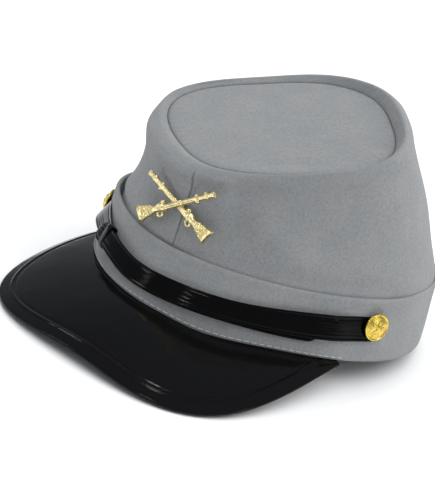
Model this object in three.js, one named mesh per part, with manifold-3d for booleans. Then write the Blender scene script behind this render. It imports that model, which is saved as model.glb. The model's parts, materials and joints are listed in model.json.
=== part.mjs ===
// A kepi cap: a soft cloth crown on a cloth band, a glossy visor, a two-part chin strap held by
// two side buttons, and a crossed-rifles badge. Millimetres, +Z up. The visor points to -Y and
// the wearer's left side is +X. The cap stands as it rests on a table, on its visor and the back
// of its band, with the middle of its footprint at the origin.
import * as THREE from "three";
import { mergeVertices } from "three/addons/utils/BufferGeometryUtils.js";
import Module from "manifold-3d";

const wasm = await Module();
wasm.setup();

// ---------------------------------------------------------------- driving dimensions

const GAP = 0.4; // clearance left between pieces that touch on the real cap
const FRONT_OVAL = 1.8; // the front half is drawn a little to a point by the visor's pull
const BACK_OVAL = 2.05; // the back half is nearly an ellipse
const AROUND = 72; // steps round the head

// The band is a belt between two ovals: the hem at the bottom and the fold at the top.
const HEM = { halfWidth: 92.7, halfLength: 100.5, back: 1.0 };
const FOLD = { halfWidth: 91.2, halfLength: 91.3, back: 2.9 };
const BAND_HEIGHT = 34.7;
const BAND_RISE = 0.07; // the fold climbs this much for each millimetre towards the back
const BAND_WALL = 2.2;

// The round top leans forwards and a little to the wearer's right.
const TOP = { halfWidth: 63.0, halfLength: 59.8, right: 3.8, forward: 20.7, height: 93.4 };
const TOP_LEAN = THREE.MathUtils.degToRad(21.5);
const TOP_ROLL = THREE.MathUtils.degToRad(3.5);
const CROWN_WALL = 1.6;
const CROWN_TUCK = 0.25; // how much of the band's height the crown reaches down inside it
const TOP_DOME = 2.5;

// The visor slopes down from the hem to a square front with round corners.
const VISOR = { halfWidth: 85.7, reach: 103.5, start: -39.0, squareness: 3.24 };
const VISOR_SLOPE = THREE.MathUtils.degToRad(26.0);
const VISOR_WALL = 1.8;
const VISOR_FLANGE = 3.0; // the strip that is sewn under the hem
const VISOR_CROWNING = 1.5; // how far the sheet arches between the hem and its edge

// Chin strap: two straps that overlap across the front.
const STRAP_WIDTH = 12.7;
const STRAP_WALL = 1.3;
const STRAP_HOLE = 1.9;
// The buttons sit this many degrees forward of the cap's left and right sides.
const LEFT_BUTTON_ANGLE = 19;
const RIGHT_BUTTON_ANGLE = 25;
const INNER_STRAP_END = 35.5;
const OUTER_STRAP_END = 126;
const KEEPER_ANGLE = 119.5;
const KEEPER = { length: 6.5, wall: 0.9, clearance: 0.7 };
const STRAP_BOW = 3.0; // the inner strap stands off the band between the keeper and its button

const BUTTON = { radius: 7.2, rim: 1.1, dome: 3.0, shank: 1.5 };
const BUTTON_LEVEL = 0.6;

// Crossed rifles, each this long from muzzle to butt.
const RIFLE_LENGTH = 52;
const RIFLE_LEAN = 25; // degrees above the level
const RIFLE_PLATE = 1.6;
const RIFLE_STACK = 1.1; // how far the upper rifle lies in front of the lower one
const BADGE_LEVEL = 0.64; // its place between the fold and the rim of the crown

// ---------------------------------------------------------------- surfaces

const radians = THREE.MathUtils.degToRad;

function oval(value, power) {
  return Math.sign(value) * Math.abs(value) ** (2 / power);
}

/** How far across and along a soft oval an angle reaches, as shares of its half sizes. */
function ovalShares(angle) {
  const power = Math.sin(angle) < 0 ? FRONT_OVAL : BACK_OVAL;
  return { across: oval(Math.cos(angle), power), along: oval(Math.sin(angle), power) };
}

/** A point of the band's outside: angle round the head, level from hem 0 to fold 1, outward offset. */
function onBand(angle, level, outward = 0) {
  const { across, along } = ovalShares(angle);
  const hem = new THREE.Vector3(HEM.halfWidth * across, HEM.back + HEM.halfLength * along, 0);
  const foldY = FOLD.back + FOLD.halfLength * along;
  const fold = new THREE.Vector3(FOLD.halfWidth * across, foldY, BAND_HEIGHT + BAND_RISE * foldY);
  const normal = new THREE.Vector3(Math.cos(angle), Math.sin(angle), 0);
  normal.z = hem.clone().sub(fold).dot(normal) / fold.z;
  return hem.lerp(fold, level).addScaledVector(normal.normalize(), outward);
}

const TOP_ACROSS = new THREE.Vector3(1, 0, Math.sin(TOP_ROLL));
const TOP_ALONG = new THREE.Vector3(0, Math.cos(TOP_LEAN), Math.sin(TOP_LEAN));
const TOP_NORMAL = TOP_ACROSS.clone().cross(TOP_ALONG).normalize();

/** A point by the round top's edge, grown outwards and lifted square to the top. */
function onTop(angle, grow, lift, scale = 1) {
  const { across, along } = ovalShares(angle);
  return new THREE.Vector3(-TOP.right, -TOP.forward, TOP.height)
    .addScaledVector(TOP_ACROSS, scale * (TOP.halfWidth + grow) * across)
    .addScaledVector(TOP_ALONG, scale * (TOP.halfLength + grow) * along)
    .addScaledVector(TOP_NORMAL, lift);
}

// The crown's section, from its tucked-in edge up its wall and over the rim to the seam.
const RIM_SECTION = [
  { grow: 10.0, lift: -8.0 },
  { grow: 9.0, lift: -2.5 },
  { grow: 5.0, lift: 1.4 },
  { grow: 0.8, lift: -1.0 },
];
const CROWN_STEPS = 11;

function crownSection(angle) {
  const inward = -(BAND_WALL + GAP + 0.5);
  const fold = onBand(angle, 1, inward);
  const rim = RIM_SECTION.map(({ grow, lift }) => onTop(angle, grow, lift));
  const wall = fold.clone().lerp(rim[0], 0.5);
  return new THREE.CatmullRomCurve3([onBand(angle, 1 - CROWN_TUCK, inward), fold, wall, ...rim]);
}

/** Angles that divide a stretch of the band into even lengths. */
function evenAngles(from, to, count, level = 0.5) {
  const fine = 600;
  const angles = Array.from({ length: fine + 1 }, (_, k) => from + ((to - from) * k) / fine);
  const lengths = [0];
  for (let k = 1; k <= fine; k += 1) {
    const step = onBand(angles[k], level).distanceTo(onBand(angles[k - 1], level));
    lengths.push(lengths[k - 1] + step);
  }
  const total = lengths[fine];
  return Array.from({ length: count + 1 }, (_, k) => {
    const index = lengths.findIndex((length) => length >= (total * k) / count - 1e-9);
    return angles[index];
  });
}

// ---------------------------------------------------------------- solids

/**
 * A sheet of even thickness. rows[i][j] are points of its outside: i runs round the cap
 * anticlockwise and j runs up, or inwards over the top. A closed sheet joins its last row to its
 * first, and a pole makes the last point of every row one point.
 */
function sheet(rows, thickness, { closed = false, pole = false } = {}) {
  const count = rows.length;
  const last = rows[0].length - 1;
  const row = (i) => rows[closed ? (i + count) % count : Math.min(Math.max(i, 0), count - 1)];
  const normalAt = (i, j) => {
    const around = row(i + 1)[j].clone().sub(row(i - 1)[j]);
    const up = row(i)[Math.min(j + 1, last)].clone().sub(row(i)[Math.max(j - 1, 0)]);
    return around.cross(up).normalize();
  };
  const poleNormal = new THREE.Vector3();
  for (let i = 0; i < count; i += 1) poleNormal.add(normalAt(i, last - 1));
  poleNormal.normalize();

  const positions = [];
  const addPoint = (point) => positions.push(point.x, point.y, point.z) / 3 - 1;
  const outside = [];
  const inside = [];
  for (let i = 0; i < count; i += 1) {
    outside.push([]);
    inside.push([]);
    for (let j = 0; j <= last; j += 1) {
      const shared = pole && j === last;
      if (shared && i > 0) {
        outside[i].push(outside[0][last]);
        inside[i].push(inside[0][last]);
        continue;
      }
      const normal = shared ? poleNormal : normalAt(i, j);
      outside[i].push(addPoint(rows[i][j]));
      inside[i].push(addPoint(rows[i][j].clone().addScaledVector(normal, -thickness)));
    }
  }

  const index = [];
  const face = (...corners) => {
    if (new Set(corners).size === 3) index.push(...corners);
  };
  const quad = (a, b, c, d) => {
    face(a, b, c);
    face(a, c, d);
  };
  const spans = closed ? count : count - 1;
  for (let i = 0; i < spans; i += 1) {
    const next = (i + 1) % count;
    for (let j = 0; j < last; j += 1) {
      quad(outside[i][j], outside[next][j], outside[next][j + 1], outside[i][j + 1]);
      quad(inside[i][j], inside[i][j + 1], inside[next][j + 1], inside[next][j]);
    }
    quad(inside[i][0], inside[next][0], outside[next][0], outside[i][0]);
    if (!pole) quad(outside[i][last], outside[next][last], inside[next][last], inside[i][last]);
  }
  if (!closed) {
    for (let j = 0; j < last; j += 1) {
      const end = count - 1;
      quad(inside[0][j], outside[0][j], outside[0][j + 1], inside[0][j + 1]);
      quad(outside[end][j], inside[end][j], inside[end][j + 1], outside[end][j + 1]);
    }
  }
  const geometry = new THREE.BufferGeometry();
  geometry.setAttribute("position", new THREE.Float32BufferAttribute(positions, 3));
  geometry.setIndex(index);
  return geometry;
}

function toSolid(geometry) {
  const bare = geometry.clone();
  bare.deleteAttribute("normal");
  bare.deleteAttribute("uv");
  const merged = mergeVertices(bare, 1e-4);
  return new wasm.Manifold(new wasm.Mesh({
    numProp: 3,
    vertProperties: new Float32Array(merged.attributes.position.array),
    triVerts: new Uint32Array(merged.index.array),
  }));
}

function fromSolid(solid) {
  const mesh = solid.getMesh();
  const geometry = new THREE.BufferGeometry();
  geometry.setAttribute("position", new THREE.BufferAttribute(mesh.vertProperties, 3));
  geometry.setIndex(new THREE.BufferAttribute(mesh.triVerts, 1));
  return geometry;
}

function roundAngles() {
  return Array.from({ length: AROUND }, (_, k) => (2 * Math.PI * k) / AROUND);
}

// ---------------------------------------------------------------- cloth

const BAND_SECTION = [
  { level: 0.01, outward: -0.9 },
  { level: 0.06, outward: 0.0 },
  { level: 0.35, outward: 0.3 },
  { level: 0.7, outward: 0.3 },
  { level: 0.94, outward: 0.2 },
  { level: 1.0, outward: -0.5 },
];

function bandGeometry() {
  const rows = roundAngles().map((angle) => (
    BAND_SECTION.map(({ level, outward }) => onBand(angle, level, outward))
  ));
  const belt = toSolid(sheet(rows, BAND_WALL, { closed: true }));
  const holes = [-1, 1].map((side) => shankHole(side));
  return fromSolid(holes.reduce((solid, hole) => solid.subtract(hole), belt));
}

function crownSideGeometry() {
  const rows = roundAngles().map((angle) => crownSection(angle).getPoints(CROWN_STEPS));
  return sheet(rows, CROWN_WALL, { closed: true });
}

function crownTopGeometry() {
  const rings = [1, 0.85, 0.6, 0.3, 0];
  const rows = roundAngles().map((angle) => (
    rings.map((scale) => onTop(angle, -GAP, -1 + TOP_DOME * (1 - scale * scale), scale))
  ));
  return sheet(rows, CROWN_WALL, { closed: true, pole: true });
}

// ---------------------------------------------------------------- visor

const VISOR_STEPS = 48;

function visorEdge() {
  const fine = 240;
  const points = Array.from({ length: fine + 1 }, (_, k) => {
    const angle = -Math.PI + (Math.PI * k) / fine;
    return new THREE.Vector3(
      VISOR.halfWidth * oval(Math.cos(angle), VISOR.squareness),
      VISOR.start - VISOR.reach * oval(-Math.sin(angle), VISOR.squareness),
      0,
    );
  });
  return new THREE.CatmullRomCurve3(points, false, "chordal").getSpacedPoints(VISOR_STEPS);
}

function hemAngleAt(y) {
  const along = (HEM.back - y) / HEM.halfLength;
  return -Math.asin(along ** (FRONT_OVAL / 2));
}

function visorGeometry() {
  const start = hemAngleAt(VISOR.start);
  const angles = evenAngles(-Math.PI - start, start, VISOR_STEPS, 0);
  const rows = visorEdge().map((edge, k) => {
    const hem = onBand(angles[k], 0);
    const width = Math.hypot(edge.x - hem.x, edge.y - hem.y);
    const sloped = [1, 0.75, 0.5, 0.25, 0].map((share) => {
      const point = hem.clone().lerp(edge, share);
      const arch = VISOR_CROWNING * 4 * share * (1 - share) * Math.min(1, width / 30);
      point.z = -GAP - Math.tan(VISOR_SLOPE) * width * share + arch;
      return point;
    });
    const flange = onBand(angles[k], 0, -VISOR_FLANGE);
    flange.z = -GAP;
    return [...sloped, flange];
  });
  return sheet(rows, VISOR_WALL);
}

// ---------------------------------------------------------------- chin strap

const FAR_BUTTON = radians(-180 + RIGHT_BUTTON_ANGLE);
const NEAR_BUTTON = radians(-LEFT_BUTTON_ANGLE);

/** Both straps hang lowest at the front; the inner one lies a little lower than the outer. */
function strapLevel(angle, drop) {
  const towardsButton = Math.abs(Math.cos(angle));
  return 0.41 + 0.15 * towardsButton ** 2 - drop;
}

function bump(angle, centre, halfWidth) {
  const share = (angle - centre) / halfWidth;
  return Math.exp(-share * share);
}

const STRAPS = {
  outer: { from: radians(-OUTER_STRAP_END), to: NEAR_BUTTON, drop: 0, button: 1 },
  inner: { from: FAR_BUTTON, to: radians(-INNER_STRAP_END), drop: 0.07, button: -1 },
};
const LIFT_FOR_KEEPER = 2.0;
const CLOTH_FACE = 0.3 + GAP; // the band's belly, and the gap to the strap on it
const INNER_FACE = CLOTH_FACE + STRAP_WALL;
const OUTER_FACE = INNER_FACE + GAP + STRAP_WALL;

function strapOutside(name, angle) {
  const keeperLift = LIFT_FOR_KEEPER * bump(angle, radians(-KEEPER_ANGLE), radians(12));
  const bow = STRAP_BOW * bump(angle, radians(-140), radians(9));
  if (name === "inner") return INNER_FACE + keeperLift + bow;
  const overInner = THREE.MathUtils.smoothstep(-angle, radians(24), radians(33));
  const tipLift = THREE.MathUtils.smoothstep(-angle, radians(120.5), radians(126));
  return INNER_FACE + (OUTER_FACE - INNER_FACE) * overInner + keeperLift + tipLift;
}

const STRAP_STEPS = 40;
const STRAP_ACROSS = [-1, -0.5, 0, 0.5, 1];

function strapGeometry(name) {
  const { from, to, drop, button } = STRAPS[name];
  const tip = radians(4); // the end reaches past the button's shank
  const start = button < 0 ? from - tip : from;
  const end = button > 0 ? to + tip : to;
  const angles = evenAngles(start, end, STRAP_STEPS);
  const half = STRAP_WIDTH / 2;
  const rows = angles.map((angle, k) => {
    const fromEnd = Math.min(k, STRAP_STEPS - k);
    const narrowing = [0.45, 0.85, 1][Math.min(fromEnd, 2)];
    const outward = strapOutside(name, angle);
    const slope = onBand(angle, 1).distanceTo(onBand(angle, 0));
    return STRAP_ACROSS.map((share) => {
      const level = strapLevel(angle, drop) + (share * narrowing * half) / slope;
      return onBand(angle, level, outward);
    });
  });
  const strap = toSolid(sheet(rows, STRAP_WALL));
  return fromSolid(strap.subtract(shankHole(button)));
}

/** Position and outward direction of the band's face at a place. */
function faceFrame(angle, level, outward) {
  const step = 0.01;
  const origin = onBand(angle, level, outward);
  const around = onBand(angle + step, level, outward).sub(onBand(angle - step, level, outward));
  const up = onBand(angle, level + step, outward).sub(onBand(angle, level - step, outward));
  around.normalize();
  const normal = around.clone().cross(up).normalize();
  const upright = normal.clone().cross(around);
  const basis = new THREE.Matrix4().makeBasis(around, upright, normal);
  return { origin, normal, quaternion: new THREE.Quaternion().setFromRotationMatrix(basis) };
}

function buttonAngle(side) {
  return side < 0 ? FAR_BUTTON : NEAR_BUTTON;
}

function shankHole(side) {
  const { origin, normal } = faceFrame(buttonAngle(side), BUTTON_LEVEL, 0);
  const hole = new THREE.CylinderGeometry(STRAP_HOLE, STRAP_HOLE, 16, 16);
  hole.applyQuaternion(new THREE.Quaternion().setFromUnitVectors(new THREE.Vector3(0, 1, 0), normal));
  hole.translate(origin.x, origin.y, origin.z);
  return toSolid(hole);
}

function roundedRectangle(path, halfWidth, halfHeight, radius) {
  const w = halfWidth - radius;
  const h = halfHeight - radius;
  path.absarc(w, h, radius, 0, Math.PI / 2);
  path.absarc(-w, h, radius, Math.PI / 2, Math.PI);
  path.absarc(-w, -h, radius, Math.PI, 1.5 * Math.PI);
  path.absarc(w, -h, radius, 1.5 * Math.PI, 2 * Math.PI);
  path.closePath();
  return path;
}

/** A closed loop round both straps, standing on the band. */
function keeperMesh(material) {
  const angle = radians(-KEEPER_ANGLE);
  const backFace = 0.5 + GAP;
  const stack = strapOutside("outer", angle) - INNER_FACE - LIFT_FOR_KEEPER + 2 * STRAP_WALL;
  const insideDepth = stack + GAP + KEEPER.clearance;
  const insideWidth = STRAP_WIDTH + 4;
  const outline = roundedRectangle(
    new THREE.Shape(),
    insideWidth / 2 + KEEPER.wall,
    insideDepth / 2 + KEEPER.wall,
    1.6,
  );
  outline.holes.push(roundedRectangle(new THREE.Path(), insideWidth / 2, insideDepth / 2, 0.6));
  const loop = new THREE.ExtrudeGeometry(outline, {
    depth: KEEPER.length,
    bevelEnabled: false,
    curveSegments: 3,
  });
  loop.translate(0, 0, -KEEPER.length / 2);
  loop.rotateY(Math.PI / 2);
  loop.rotateX(Math.PI / 2);
  const level = strapLevel(angle, STRAPS.inner.drop / 2);
  const { origin, normal, quaternion } = faceFrame(angle, level, 0);
  const mesh = new THREE.Mesh(loop, material);
  mesh.quaternion.copy(quaternion);
  mesh.position.copy(origin).addScaledVector(normal, backFace + KEEPER.wall + insideDepth / 2);
  return mesh;
}

// ---------------------------------------------------------------- buttons

function buttonMesh(side, material) {
  const { radius, rim, dome, shank } = BUTTON;
  const profile = new THREE.Path();
  profile.moveTo(0, -7);
  profile.lineTo(shank, -7);
  profile.lineTo(shank, 0);
  profile.lineTo(radius - 0.6, 0);
  profile.lineTo(radius, 0.5);
  profile.lineTo(radius, rim);
  profile.lineTo(radius - 0.7, rim + 0.3);
  profile.lineTo(radius - 1.2, rim);
  profile.quadraticCurveTo(radius * 0.6, dome, 0, dome);
  const geometry = new THREE.LatheGeometry(profile.getPoints(6), 28);
  const { origin, normal, quaternion } = faceFrame(buttonAngle(side), BUTTON_LEVEL, 0);
  const mesh = new THREE.Mesh(geometry, material);
  mesh.quaternion.copy(quaternion);
  mesh.rotateX(Math.PI / 2);
  mesh.position.copy(origin).addScaledVector(normal, INNER_FACE + GAP + 0.6);
  return mesh;
}

// ---------------------------------------------------------------- badge

// Half of the rifle's side view above its barrel line and half below, as shares of its length
// from the muzzle, with heights in millimetres.
const RIFLE_OUTLINE = [
  { along: 0.0, above: 1.2, below: 1.2 },
  { along: 0.05, above: 1.2, below: 1.2 },
  { along: 0.07, above: 2.4, below: 1.2 },
  { along: 0.1, above: 2.4, below: 1.3 },
  { along: 0.12, above: 1.3, below: 1.3 },
  { along: 0.19, above: 1.3, below: 2.8 },
  { along: 0.23, above: 1.4, below: 2.8 },
  { along: 0.25, above: 1.4, below: 1.4 },
  { along: 0.6, above: 1.6, below: 1.6 },
  { along: 0.66, above: 2.0, below: 3.6 },
  { along: 0.7, above: 4.2, below: 4.0 },
  { along: 0.75, above: 3.6, below: 3.4 },
  { along: 0.79, above: 1.8, below: 2.2 },
  { along: 0.84, above: 2.2, below: 3.4 },
  { along: 0.98, above: 3.4, below: 5.6 },
  { along: 1.0, above: 4.2, below: 6.6 },
];

/** One rifle lying along +X from its muzzle at the middle of the crossing. */
function rifleSolid(facing, depth) {
  const shape = new THREE.Shape();
  const place = ({ along }) => (along - 0.5) * RIFLE_LENGTH;
  RIFLE_OUTLINE.forEach((row, k) => {
    if (k === 0) shape.moveTo(place(row), row.above);
    else shape.lineTo(place(row), row.above);
  });
  [...RIFLE_OUTLINE].reverse().forEach((row) => shape.lineTo(place(row), -row.below));
  shape.closePath();
  const plate = new THREE.ExtrudeGeometry(shape, {
    depth: RIFLE_PLATE - 0.6,
    bevelThickness: 0.3,
    bevelSize: 0.3,
    bevelOffset: -0.3,
    bevelSegments: 1,
  });
  plate.translate(0, 0, depth + 0.3);
  plate.rotateZ(-radians(RIFLE_LEAN));
  const solid = toSolid(plate);
  return facing < 0 ? solid.mirror([1, 0, 0]) : solid;
}

const BADGE_TURN = 5; // degrees, the badge sits a little higher at the wearer's left
const BADGE_ANGLE = radians(-93.4); // and a little to the wearer's right of the front seam

/** The middle of the crown's front between the fold and the rim, with its outward direction. */
function crownFrontFrame() {
  const step = 0.02;
  const at = (angle, share) => crownSection(angle).getPoint(share);
  const share = (1 + 2 * BADGE_LEVEL) / 6;
  const origin = at(BADGE_ANGLE, share);
  const along = at(BADGE_ANGLE + step, share).sub(at(BADGE_ANGLE - step, share));
  const across = along.normalize();
  const upward = at(BADGE_ANGLE, share + step).sub(at(BADGE_ANGLE, share - step)).normalize();
  const normal = across.clone().cross(upward).normalize();
  const basis = new THREE.Matrix4().makeBasis(across, normal.clone().cross(across), normal);
  return { origin, normal, quaternion: new THREE.Quaternion().setFromRotationMatrix(basis) };
}

function badgeMesh(material) {
  const rifles = rifleSolid(1, 0).add(rifleSolid(-1, RIFLE_STACK));
  const { origin, normal, quaternion } = crownFrontFrame();
  const mesh = new THREE.Mesh(fromSolid(rifles), material);
  mesh.quaternion.copy(quaternion);
  mesh.rotateZ(radians(BADGE_TURN));
  mesh.position.copy(origin).addScaledVector(normal, GAP + 0.3);
  return mesh;
}

// ---------------------------------------------------------------- assembly

const greyCloth = () => new THREE.MeshStandardMaterial({ color: 0x8f9090, roughness: 0.95 });
const blackGloss = () => new THREE.MeshStandardMaterial({ color: 0x0b0b0c, roughness: 0.15 });
const yellowBrass = () => (
  new THREE.MeshStandardMaterial({ color: 0xd8b23a, roughness: 0.25, metalness: 1 })
);
const paleGold = () => (
  new THREE.MeshStandardMaterial({ color: 0xdcc98a, roughness: 0.3, metalness: 1 })
);

const cap = new THREE.Group();

function addPiece(name, mesh) {
  mesh.name = name;
  cap.add(mesh);
}

addPiece("band", new THREE.Mesh(bandGeometry(), greyCloth()));
addPiece("crown_side", new THREE.Mesh(crownSideGeometry(), greyCloth()));
addPiece("crown_top", new THREE.Mesh(crownTopGeometry(), greyCloth()));
addPiece("visor", new THREE.Mesh(visorGeometry(), blackGloss()));
addPiece("strap_inner", new THREE.Mesh(strapGeometry("inner"), blackGloss()));
addPiece("strap_outer", new THREE.Mesh(strapGeometry("outer"), blackGloss()));
addPiece("strap_keeper", keeperMesh(blackGloss()));
addPiece("button_left", buttonMesh(1, yellowBrass()));
addPiece("button_right", buttonMesh(-1, yellowBrass()));
addPiece("badge", badgeMesh(paleGold()));

/** How far the cap tips back until its visor and the back of its band touch one flat surface. */
function restPitch() {
  const lowest = (name, pitch) => {
    cap.rotation.x = -pitch;
    cap.updateMatrixWorld(true);
    return new THREE.Box3().setFromObject(cap.getObjectByName(name), true).min.z;
  };
  let low = 0;
  let high = radians(20);
  for (let k = 0; k < 40; k += 1) {
    const middle = (low + high) / 2;
    if (lowest("visor", middle) < lowest("band", middle)) low = middle;
    else high = middle;
  }
  return (low + high) / 2;
}

cap.rotation.x = -restPitch();
cap.updateMatrixWorld(true);
const extent = new THREE.Box3().setFromObject(cap, true);
cap.position.set(
  -(extent.min.x + extent.max.x) / 2,
  -(extent.min.y + extent.max.y) / 2,
  -extent.min.z,
);

const group = new THREE.Group();
group.add(cap);

export default group;
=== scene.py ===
"""A grey cloth kepi cap on a plain pale floor, in soft studio light."""
import json
import math
from math import radians

import bpy
import bmesh
import numpy as np
from mathutils import Matrix, Vector


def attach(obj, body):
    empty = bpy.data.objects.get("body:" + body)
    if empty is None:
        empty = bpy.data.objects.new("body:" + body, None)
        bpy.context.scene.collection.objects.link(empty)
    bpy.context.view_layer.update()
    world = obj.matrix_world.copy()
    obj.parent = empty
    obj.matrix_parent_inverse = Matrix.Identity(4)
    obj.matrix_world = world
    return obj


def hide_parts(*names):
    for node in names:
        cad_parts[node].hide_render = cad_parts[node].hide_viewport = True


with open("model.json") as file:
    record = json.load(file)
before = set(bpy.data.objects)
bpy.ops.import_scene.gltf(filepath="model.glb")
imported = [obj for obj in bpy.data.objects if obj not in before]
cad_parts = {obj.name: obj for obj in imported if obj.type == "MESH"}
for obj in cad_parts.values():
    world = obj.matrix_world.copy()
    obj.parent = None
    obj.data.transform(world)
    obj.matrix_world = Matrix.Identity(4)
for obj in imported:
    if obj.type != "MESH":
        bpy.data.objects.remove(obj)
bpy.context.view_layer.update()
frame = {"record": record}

MM = 0.001

# ---------- sizes, in millimetres

FRONT_OVAL, BACK_OVAL = 1.8, 2.05
HEM = {"half_width": 92.7, "half_length": 100.5, "back": 1.0}
FOLD = {"half_width": 91.2, "half_length": 91.3, "back": 2.9}
BAND_HEIGHT = 34.7
BAND_RISE = 0.07
BAND_WALL = 2.2

TOP = {"half_width": 63.0, "half_length": 59.8, "right": 3.8, "forward": 20.7, "height": 93.4}
TOP_LEAN = radians(21.5)
TOP_ROLL = radians(3.5)
CLOTH = 1.6

VISOR = {
    "half_width": 86.7, "reach": 102.2, "aside": 2.5, "start": -39.0,
    "squareness": 3.05, "left_squareness": 3.5,
}
VISOR_SLOPE = radians(25.35)
VISOR_WALL = 1.8
VISOR_FLANGE = 3.0
VISOR_DROP = 0.5
VISOR_CROWNING = 1.5
BORDER_INSET = 5.4

STRAP_WIDTH = 12.7
STRAP_WALL = 1.3
BUTTON_LEVEL = 0.6
BUTTON_RADIUS = 7.2
KEEPER_ANGLE = radians(-119.5)
FRONT = -math.pi / 2

RIFLE_LENGTH = 52.0
RIFLE_LEAN = radians(25.0)


# ---------- the cap's own frame

opening = next(m for m in frame["record"]["mounts"] if m["name"] == "head_opening")
PITCH = math.atan2(-opening["axis"][1], -opening["axis"][2])
TURN = np.array([
    [1, 0, 0],
    [0, math.cos(PITCH), math.sin(PITCH)],
    [0, -math.sin(PITCH), math.cos(PITCH)],
])
CAP_ORIGIN = np.array(opening["pos_m"]) - TURN @ np.array([0, HEM["back"] * MM, 0])


def placed(points):
    """Points of the upright cap in millimetres, as metres where the cap rests."""
    return np.asarray(points, float) * MM @ TURN.T + CAP_ORIGIN


def linked(name, data):
    """A new object, in the scene."""
    made = bpy.data.objects.new(name, data)
    bpy.context.scene.collection.objects.link(made)
    return made


def new_material(name):
    material = bpy.data.materials.new(name)
    material.use_nodes = True
    return material, material.node_tree, material.node_tree.nodes["Principled BSDF"]


def unit(vectors):
    """The same directions at length 1."""
    vectors = np.asarray(vectors, float)
    return vectors / np.maximum(np.linalg.norm(vectors, axis=-1, keepdims=True), 1e-12)


# ---------- camera, floor and light

GLINT_CENTRE, GLINT_DISTANCE = Vector((0, 0, 0.05)), 1.2
FLOOR_HALF = 14.0


def make_camera():
    """A long lens, to the wearer's left of the visor and a little above it."""
    azimuth, elevation, roll = (radians(a) for a in (34.5334, 20.9763, 14.0405))
    distance = 0.68998
    aim = Vector((-0.0246, 0.01275, 0.0251))
    back = Vector((
        math.sin(azimuth) * math.cos(elevation),
        -math.cos(azimuth) * math.cos(elevation),
        math.sin(elevation),
    ))
    facing = back.to_track_quat("Z", "Y").to_matrix().to_4x4() @ Matrix.Rotation(roll, 4, "Z")
    data = bpy.data.cameras.new("camera")
    data.sensor_fit = "VERTICAL"
    data.sensor_height = 36.0
    data.lens = 90.4727
    data.clip_end = 50
    camera = linked("camera", data)
    camera.matrix_world = Matrix.Translation(aim + back * distance) @ facing
    bpy.context.scene.camera = camera


def glint_light(name, toward, size, radiance):
    """A small bright panel that only shows as a reflection in the glossy and gilt parts."""
    data = bpy.data.lights.new(name, "AREA")
    data.shape = "RECTANGLE"
    data.size, data.size_y = size
    data.energy = radiance * math.pi * size[0] * size[1]
    light = linked(name, data)
    direction = Vector(toward).normalized()
    light.location = GLINT_CENTRE + direction * GLINT_DISTANCE
    light.rotation_euler = direction.to_track_quat("Z", "Y").to_euler()
    light.visible_diffuse = False


def sky_light(name, source, strength, spread, tint=(1, 1, 1)):
    """An even soft light from one side of the sky, which glossy faces don't mirror."""
    data = bpy.data.lights.new(name, "SUN")
    data.energy = strength
    data.angle = radians(spread)
    data.color = tint
    light = linked(name, data)
    light.rotation_euler = Vector(source).to_track_quat("Z", "Y").to_euler()
    light.visible_glossy = False


def make_studio():
    """A plain pale floor, an even sky and a few small panels to be mirrored."""
    mesh = bpy.data.meshes.new("floor")
    corners = [(x * FLOOR_HALF, y * FLOOR_HALF, 0) for x, y in ((-1, -1), (1, -1), (1, 1), (-1, 1))]
    mesh.from_pydata(corners, [], [(0, 1, 2, 3)])
    floor = linked("floor", mesh)
    paint, _, shader = new_material("pale_floor")
    shader.inputs["Base Color"].default_value = (0.95, 0.95, 0.95, 1)
    shader.inputs["Roughness"].default_value = 0.9
    shader.inputs["Specular IOR Level"].default_value = 0.0
    mesh.materials.append(paint)

    world = bpy.data.worlds.new("studio")
    world.use_nodes = True
    sky = world.node_tree.nodes["Background"]
    sky.inputs["Color"].default_value = (0.93, 0.98, 1.06, 1)
    sky.inputs["Strength"].default_value = 0.36
    bpy.context.scene.world = world

    sky_light("overhead", (0.15, 0.15, 1.0), 2.25, 90)
    sky_light("key", (1.0, 0.45, 0.55), 0.85, 60, (1.0, 0.97, 0.94))
    sky_light("left", (-1.0, -0.1, 0.25), 0.6, 60, (1.0, 0.98, 0.96))
    sky_light("behind", (-0.1, 1.0, 0.5), 0.55, 50)
    glint_light("strip_left", (-0.64, -0.77, 0.34), (0.12, 0.4), 2.5)
    glint_light("strip_high", (-0.75, -0.55, 0.75), (0.1, 0.3), 12)
    glint_light("ridge_lamp", (-0.02, -0.38, 0.92), (0.2, 0.2), 22)
    glint_light("lamp", (0.05, -0.95, 0.8), (0.1, 0.1), 30)
    glint_light("side_lamp", (0.9, 0.1, 0.5), (0.12, 0.3), 12)
    glint_light("window", (-0.42, 0.42, 0.8), (0.05, 0.12), 2.5)

    view = bpy.context.scene.view_settings
    view.view_transform = "Standard"
    view.look = "None"


make_camera()
make_studio()


# ---------- materials

def texture(tree, scale, detail, stretch=None, source=None, kind="ShaderNodeTexNoise", **settings):
    """Procedural texture, on object coordinates unless told; scale is in repeats a metre."""
    vector = source or tree.nodes.new("ShaderNodeTexCoord").outputs["Object"]
    if stretch:
        mapping = tree.nodes.new("ShaderNodeMapping")
        mapping.inputs["Scale"].default_value = stretch
        tree.links.new(vector, mapping.inputs["Vector"])
        vector = mapping.outputs["Vector"]
    node = tree.nodes.new(kind)
    for key, value in {"Scale": scale, "Detail": detail, **settings}.items():
        node.inputs[key].default_value = value
    tree.links.new(vector, node.inputs["Vector"])
    return node.outputs[0]


def ramp(tree, source, stops):
    node = tree.nodes.new("ShaderNodeValToRGB")
    elements = node.color_ramp.elements
    while len(elements) < len(stops):
        elements.new(0.5)
    for element, (position, colour) in zip(elements, stops):
        element.position = position
        grey = (colour,) * 3 if isinstance(colour, (int, float)) else colour
        element.color = (*grey, 1)
    tree.links.new(source, node.inputs["Fac"])
    return node.outputs["Color"]


def multiplied(tree, first, second):
    node = tree.nodes.new("ShaderNodeMix")
    node.data_type = "RGBA"
    node.blend_type = "MULTIPLY"
    node.inputs["Factor"].default_value = 1.0
    tree.links.new(first, node.inputs[6])
    tree.links.new(second, node.inputs[7])
    return node.outputs[2]


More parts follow.
